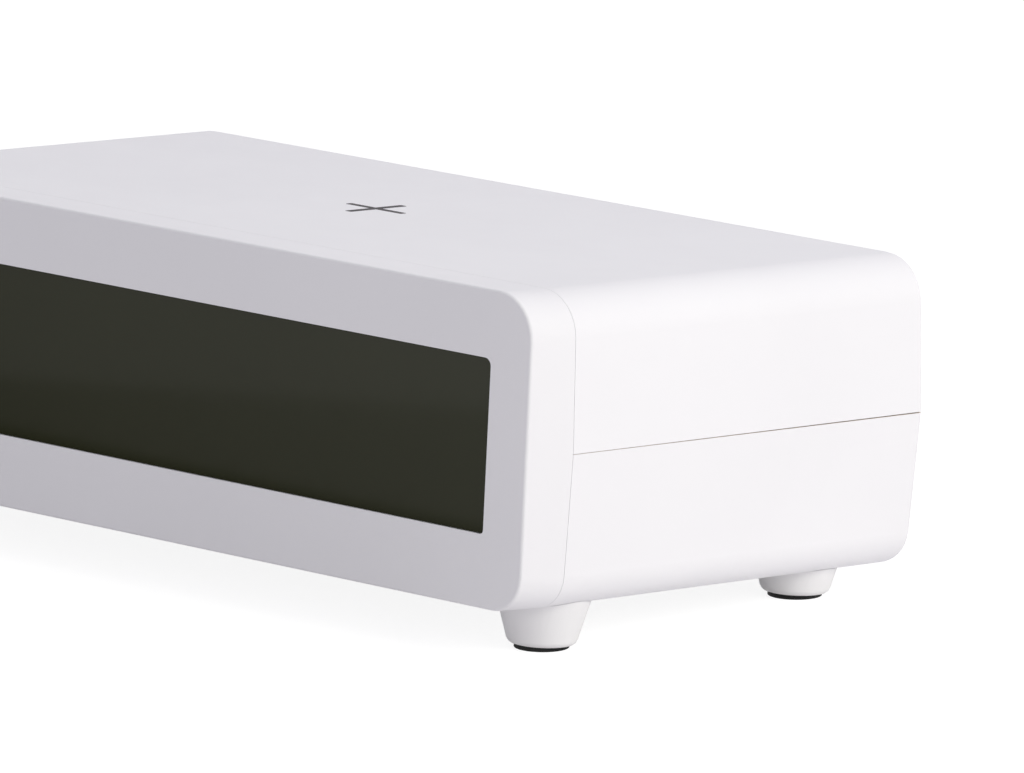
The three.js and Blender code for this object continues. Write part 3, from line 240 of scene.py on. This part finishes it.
def moulded(name, light, dark, roughness, grain=0.00045, depth=0.000006, painted_gap_shade=False):
    """Moulded plastic: a fine spark-eroded grain, slow changes of tone and of gloss, and, if asked, a
    painted warm shade inside the parting gap.
    """
    shader = Shader(name)
    colour = shader.tones(shader.noise(TONE_SIZE), light, dark)
    if painted_gap_shade:
        colour = paint_gap_shade(shader, colour)
    rough = shader.spread(shader.noise(GLOSS_SIZE), *roughness)
    normal = shader.bump(shader.noise(grain), depth)
    shader.principled(colour, rough, normal)
    return shader.material


def rolled(name, light, dark, roughness):
    """Sheet or wire metal with fine drawn lines along it."""
    shader = Shader(name)
    lines = shader.noise(0.0016, stretch=DRAWN_STRETCH)
    colour = shader.tones(lines, light, dark)
    rough = shader.spread(lines, *roughness)
    shader.principled(colour, rough, shader.bump(lines, 0.000004), Metallic=1.0)
    return shader.material


def tinted(name):
    """Smoky see-through plastic over a dark unlit display: polished, with the faintest waviness."""
    shader = Shader(name)
    colour = shader.tones(shader.noise(0.05), (0.0273, 0.0287, 0.0133), (0.0253, 0.0267, 0.0123))
    rough = shader.spread(shader.noise(0.004), 0.05, 0.08)
    normal = shader.bump(shader.noise(0.02, detail=0.0), 0.0000015)
    shader.principled(colour, rough, normal, IOR=1.38)
    return shader.material


def laminate(name):
    """Circuit board: green solder mask over a woven glass base."""
    shader = Shader(name)
    weave = shader.add("ShaderNodeTexBrick")
    weave.inputs["Scale"].default_value = 700
    weave.inputs["Color1"].default_value = (0.010, 0.075, 0.035, 1)
    weave.inputs["Color2"].default_value = (0.013, 0.090, 0.043, 1)
    weave.inputs["Mortar"].default_value = (0.007, 0.055, 0.026, 1)
    shader.join(shader.place, weave.inputs["Vector"])
    rough = shader.spread(shader.noise(0.003), 0.3, 0.42)
    normal = shader.bump(weave.outputs["Fac"], 0.000008)
    shader.principled(weave.outputs["Color"], rough, normal)
    return shader.material


def make_materials():
    """One procedural material for each material slot of the record, and one for the lower shell, with
    painted warm shade in its parting gap.
    """
    housing = (0.873, 0.864, 0.896), (0.853, 0.844, 0.876), (0.46, 0.54)
    return {
        "white_plastic": moulded("white_plastic", *housing),
        # The lower shell's plastic carries a painted warm shade in its parting gap
        "lower_shell": moulded("lower_shell_plastic_gap_shade", *housing, painted_gap_shade=True),
        "foot_plastic": moulded("foot_plastic", (0.871, 0.864, 0.882), (0.851, 0.844, 0.862), (0.46, 0.56)),
        "tinted_plastic": tinted("tinted_plastic"),
        "white_film": moulded("white_film", (0.80, 0.80, 0.76), (0.76, 0.76, 0.72), (0.6, 0.7)),
        "reflector_plastic": moulded(
            "reflector_plastic", (0.72, 0.73, 0.70), (0.66, 0.67, 0.64), (0.5, 0.6)
        ),
        "board_laminate": laminate("board_laminate"),
        "black_rubber": moulded(
            "black_rubber", (0.006, 0.006, 0.006), (0.004, 0.004, 0.004), (0.7, 0.85), 0.0003, 0.00002
        ),
        "black_plastic": moulded("black_plastic", (0.016, 0.016, 0.017), (0.011, 0.011, 0.012), (0.4, 0.5)),
        "grey_plastic": moulded("grey_plastic", (0.70, 0.69, 0.71), (0.66, 0.65, 0.67), (0.4, 0.5)),
        "steel": rolled("steel", (0.46, 0.46, 0.45), (0.38, 0.38, 0.37), (0.3, 0.42)),
        "bright_steel": rolled("bright_steel", (0.60, 0.60, 0.59), (0.52, 0.52, 0.51), (0.2, 0.3)),
        "copper": rolled("copper", (0.55, 0.22, 0.10), (0.44, 0.16, 0.07), (0.28, 0.4)),
        "ferrite": moulded("ferrite", (0.026, 0.025, 0.028), (0.018, 0.017, 0.019), (0.5, 0.65)),
        "flat_cable": moulded("flat_cable", (0.72, 0.70, 0.65), (0.66, 0.64, 0.59), (0.4, 0.5)),
    }


def dress_nodes(materials):
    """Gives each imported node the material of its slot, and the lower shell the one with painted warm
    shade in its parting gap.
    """
    for row in frame["record"]["subparts"]:
        own = "lower_shell" if row["node"] == "lower_shell" else row["material_slot"]
        for slot in frame["nodes"][row["node"]].material_slots:
            slot.material = materials[own]


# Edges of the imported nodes: welded, with small rounds on sharp edges and smooth fillets


def geometry_tree(name):
    """A new node group that takes and gives geometry, with its input and its output."""
    tree = bpy.data.node_groups.new(name, "GeometryNodeTree")
    tree.interface.new_socket("Geometry", in_out="INPUT", socket_type="NodeSocketGeometry")
    tree.interface.new_socket("Geometry", in_out="OUTPUT", socket_type="NodeSocketGeometry")
    return tree, tree.nodes.new("NodeGroupInput"), tree.nodes.new("NodeGroupOutput")


def weld_tree():
    """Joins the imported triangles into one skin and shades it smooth."""
    tree, source, result = geometry_tree("weld")
    strip = tree.nodes.new("GeometryNodeRemoveAttribute")
    strip.inputs["Name"].default_value = "custom_normal"
    merge = tree.nodes.new("GeometryNodeMergeByDistance")
    merge.inputs["Distance"].default_value = WELD_DISTANCE
    smooth = tree.nodes.new("GeometryNodeSetShadeSmooth")
    tree.links.new(source.outputs[0], strip.inputs["Geometry"])
    tree.links.new(strip.outputs["Geometry"], merge.inputs["Geometry"])
    tree.links.new(merge.outputs["Geometry"], smooth.inputs["Geometry"])
    tree.links.new(smooth.outputs["Geometry"], result.inputs[0])
    return tree


def crease_tree():
    """Keeps the edges sharp that turn by more than a fillet's step."""
    tree, source, result = geometry_tree("crease")
    angle = tree.nodes.new("GeometryNodeInputMeshEdgeAngle")
    compare = tree.nodes.new("FunctionNodeCompare")
    compare.data_type = "FLOAT"
    compare.operation = "GREATER_THAN"
    compare.inputs["B"].default_value = SMOOTH_ANGLE
    crease = tree.nodes.new("GeometryNodeSetShadeSmooth")
    crease.domain = "EDGE"
    crease.inputs["Shade Smooth"].default_value = False
    tree.links.new(angle.outputs["Unsigned Angle"], compare.inputs["A"])
    tree.links.new(compare.outputs["Result"], crease.inputs["Selection"])
    tree.links.new(source.outputs[0], crease.inputs["Geometry"])
    tree.links.new(crease.outputs["Geometry"], result.inputs[0])
    return tree


def soften(node, width, weld, crease):
    """Small rounds of this width on a node's sharp edges, with fillets shaded smooth."""
    piece = frame["nodes"][node]
    piece.modifiers.new("weld", "NODES").node_group = weld
    flat = piece.modifiers.new("flat", "DECIMATE")
    flat.decimate_type = "DISSOLVE"
    flat.angle_limit = FLAT_ANGLE
    edge = piece.modifiers.new("edge", "BEVEL")
    edge.width = width * MILLIMETRE
    edge.segments = ROUND_STEPS
    edge.limit_method = "ANGLE"
    edge.angle_limit = SMOOTH_ANGLE
    piece.modifiers.new("crease", "NODES").node_group = crease
    weighted = piece.modifiers.new("weighted", "WEIGHTED_NORMAL")
    weighted.keep_sharp = True


def soften_nodes():
    """Crisp edges on the housing and the feet, and small rounds on what is set into them."""
    weld, crease = weld_tree(), crease_tree()
    crisp = ("front_frame", "upper_shell", "lower_shell", "battery_door", "foot_front", "foot_rear")
    small = ("foot_pad", "button", "alarm", "display_lens", "power_inlet")
    for node in frame["nodes"]:
        if node.startswith(crisp):
            soften(node, CRISP_ROUND, weld, crease)
        elif node.startswith(small):
            soften(node, SMALL_ROUND, weld, crease)


# Printed cross on the top


def top_matrix():
    """The top's own axes: x along the clock's width, z out of the top, at the charging place."""
    mount = next(m for m in frame["record"]["mounts"] if m["name"] == "charging_top")
    out = Vector(mount["axis"]).normalized()
    across = Vector((1, 0, 0))
    back = out.cross(across)
    turn = Matrix((across, back, out)).transposed().to_4x4()
    return Matrix.Translation(Vector(mount["pos_m"])) @ turn


def stroke_outline(length):
    """A stroke's outline, as along and across: a bar with slightly rounded corners."""
    along, across = length / 2 - CROSS_ROUND, CROSS_STROKE / 2 - CROSS_ROUND
    points = []
    for corner, (u, v) in enumerate(((1, 1), (-1, 1), (-1, -1), (1, -1))):
        for i in range(CROSS_ROUND_STEPS + 1):
            turn = math.pi / 2 * (corner + i / CROSS_ROUND_STEPS)
            step_u, step_v = CROSS_ROUND * math.cos(turn), CROSS_ROUND * math.sin(turn)
            points.append((u * along + step_u, v * across + step_v))
    return points


def make_cross(material):
    """Two printed strokes that cross over the charging place, one a little thicker than the other."""
    mesh = bpy.data.meshes.new("charging_cross")
    made = bmesh.new()
    for length, turned in ((CROSS_LENGTH_X, False), (CROSS_LENGTH_Y, True)):
        outline = stroke_outline(length)
        lift = CROSS_THICKNESS * (1.5 if turned else 1)
        rings = []
        for height in (-CROSS_THICKNESS, lift):
            ring = []
            for u, v in outline:
                x, y = (-v, u) if turned else (u, v)
                point = Vector((x + CROSS_OFFSET[0], y + CROSS_OFFSET[1], height)) * MILLIMETRE
                ring.append(made.verts.new(point))
            rings.append(ring)
        low, high = rings
        made.faces.new(high)
        made.faces.new(list(reversed(low)))
        for i, corner in enumerate(low):
            j = (i + 1) % len(low)
            made.faces.new((corner, low[j], high[j], high[i]))
    bmesh.ops.recalc_face_normals(made, faces=made.faces)
    made.transform(top_matrix())
    made.to_mesh(mesh)
    made.free()
    mesh.materials.append(material)
    piece = bpy.data.objects.new("charging_cross", mesh)
    bpy.context.scene.collection.objects.link(piece)
    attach(piece, "clock_body")


def ink(name):
    """Dark print with an uneven film."""
    shader = Shader(name)
    colour = shader.tones(shader.noise(0.0008), (0.038, 0.033, 0.038), (0.050, 0.043, 0.050))
    rough = shader.spread(shader.noise(0.0005), 0.6, 0.8)
    shader.principled(colour, rough, shader.bump(shader.noise(0.0002), 0.000003))
    return shader.material


# Stage


def ramp(shader, source, starts, ends, low, high, soft=False):
    """A value that runs from low to high between two places."""
    node = shader.add("ShaderNodeMapRange", interpolation_type="SMOOTHSTEP" if soft else "LINEAR")
    node.inputs["From Min"].default_value = starts
    node.inputs["From Max"].default_value = ends
    node.inputs["To Min"].default_value = low
    node.inputs["To Max"].default_value = high
    shader.join(source, node.inputs["Value"])
    return node.outputs["Result"]


def combined(shader, operation, first, second):
    """Two values added, taken away or multiplied, kept between 0 and 1."""
    node = shader.add("ShaderNodeMath", operation=operation, use_clamp=True)
    shader.join(first, node.inputs[0])
    shader.join(second, node.inputs[1])
    return node.outputs[0]


def painted_reflected_shade(shader):
    """How dark reflections show the floor, as painted shade: it lies before the clock and fades from left
    to right, with less of it beyond a slanting step, a painted shadow of the clock close to it, and none
    behind its middle."""
    turned = shader.add("ShaderNodeMapping")
    turned.inputs["Rotation"].default_value = (0, 0, DUSK_TURN)
    turned.inputs["Location"].default_value = DUSK_SHIFT
    shader.join(shader.place, turned.inputs["Vector"])
    slant = shader.add("ShaderNodeSeparateXYZ")
    shader.join(turned.outputs["Vector"], slant.inputs["Vector"])
    level = shader.add("ShaderNodeSeparateXYZ")
    shader.join(shader.place, level.inputs["Vector"])
    across = ramp(shader, slant.outputs["Y"], 0, ACROSS_WIDTH, ACROSS_DUSK, 0)
    farther = ramp(shader, slant.outputs["X"], -STEP_HALF_WIDTH, STEP_HALF_WIDTH, 0, STEP_LESS, soft=True)
    # Painted shadow of the clock on the floor close before it, seen only in reflections
    painted_clock_shadow = ramp(shader, level.outputs["Y"], NEARER_STARTS, NEARER_ENDS, 0, NEARER_MORE, soft=True)
    front = ramp(shader, level.outputs["Y"], -FRONT_FADE, 0, 1, 0)
    painted_shade = combined(shader, "SUBTRACT", combined(shader, "ADD", across, painted_clock_shadow), farther)
    return combined(shader, "MULTIPLY", painted_shade, front)


def seen_share(tree, path):
    """1 for a ray of the camera, of a reflection or through glass, and 0 for the others."""
    share = path.outputs["Is Camera Ray"]
    for kind in ("Is Glossy Ray", "Is Transmission Ray"):
        either = tree.nodes.new("ShaderNodeMath")
        either.operation = "MAXIMUM"
        tree.links.new(share, either.inputs[0])
        tree.links.new(path.outputs[kind], either.inputs[1])
        share = either.outputs[0]
    return share


def plain(shader, kind, colour):
    """A surface or a glow of one colour."""
    node = shader.add(kind)
    node.inputs["Color"].default_value = colour
    return node


def blend(shader, share, first, second):
    """One surface that changes into another by a share."""
    node = shader.add("ShaderNodeMixShader")
    shader.join(share, node.inputs[0])
    shader.join(first.outputs[0], node.inputs[1])
    shader.join(second.outputs[0], node.inputs[2])
    return node


def make_floor():
    """A pale floor that reads white to the camera and keeps a soft shadow, with painted shade in what
    reflections see of it.
    """
    mesh = bpy.data.meshes.new("floor")
    made = bmesh.new()
    bmesh.ops.create_grid(made, x_segments=1, y_segments=1, size=FLOOR_HALF_WIDTH)
    made.to_mesh(mesh)
    made.free()
    floor = bpy.data.objects.new("floor", mesh)
    bpy.context.scene.collection.objects.link(floor)
    shader = Shader("floor")
    path = shader.add("ShaderNodeLightPath")
    bounce = plain(shader, "ShaderNodeBsdfDiffuse", FLOOR_COLOUR)
    shade = plain(shader, "ShaderNodeBsdfDiffuse", SHADE_COLOUR)
    paper = plain(shader, "ShaderNodeEmission", WHITE)
    paper.inputs["Strength"].default_value = PAPER_STRENGTH
    shown = shader.add("ShaderNodeAddShader")
    shader.join(shade.outputs[0], shown.inputs[0])
    shader.join(paper.outputs[0], shown.inputs[1])
    white = plain(shader, "ShaderNodeEmission", WHITE)
    dark = plain(shader, "ShaderNodeEmission", BLACK)
    # Reflections see the floor white, darkened by the painted shade
    reflected = blend(shader, painted_reflected_shade(shader), white, dark)
    looked_at = blend(shader, path.outputs["Is Glossy Ray"], shown, reflected)
    mix = blend(shader, seen_share(shader.tree, path), bounce, looked_at)
    shader.join(mix.outputs[0], shader.surface)
    mesh.materials.append(shader.material)


def make_world():
    """Soft light from all round, and plain white where the camera or a reflection sees it."""
    world = bpy.data.worlds.new("studio")
    world.use_nodes = True
    bpy.context.scene.world = world
    tree = world.node_tree
    tree.nodes.clear()
    path = tree.nodes.new("ShaderNodeLightPath")
    light = tree.nodes.new("ShaderNodeBackground")
    light.inputs["Color"].default_value = SKY_COLOUR
    light.inputs["Strength"].default_value = SKY_STRENGTH
    white = tree.nodes.new("ShaderNodeBackground")
    white.inputs["Color"].default_value = WHITE
    mix = tree.nodes.new("ShaderNodeMixShader")
    result = tree.nodes.new("ShaderNodeOutputWorld")
    tree.links.new(seen_share(tree, path), mix.inputs[0])
    tree.links.new(light.outputs[0], mix.inputs[1])
    tree.links.new(white.outputs[0], mix.inputs[2])
    tree.links.new(mix.outputs[0], result.inputs["Surface"])


def softbox(name, place, size, power, colour):
    """A rectangular softbox that points at the clock."""
    data = bpy.data.lights.new(name, "AREA")
    data.shape = "RECTANGLE"
    data.size, data.size_y = size
    data.energy = power
    data.color = colour
    lamp = bpy.data.objects.new(name, data)
    bpy.context.scene.collection.objects.link(lamp)
    lamp.location = place
    lamp.rotation_euler = (LIGHT_AIM - Vector(place)).to_track_quat("-Z", "Y").to_euler()
    lamp.visible_camera = False
    lamp.visible_glossy = False


def make_lights():
    softbox("side_light", SIDE_PLACE, SIDE_SIZE, SIDE_POWER, SIDE_COLOUR)
    softbox("top_light", TOP_PLACE, TOP_SIZE, TOP_POWER, TOP_COLOUR)


bpy.context.scene.view_settings.view_transform = "Standard"
make_camera()
dress_nodes(make_materials())
soften_nodes()
make_cross(ink("cross_ink"))
make_floor()
make_world()
make_lights()
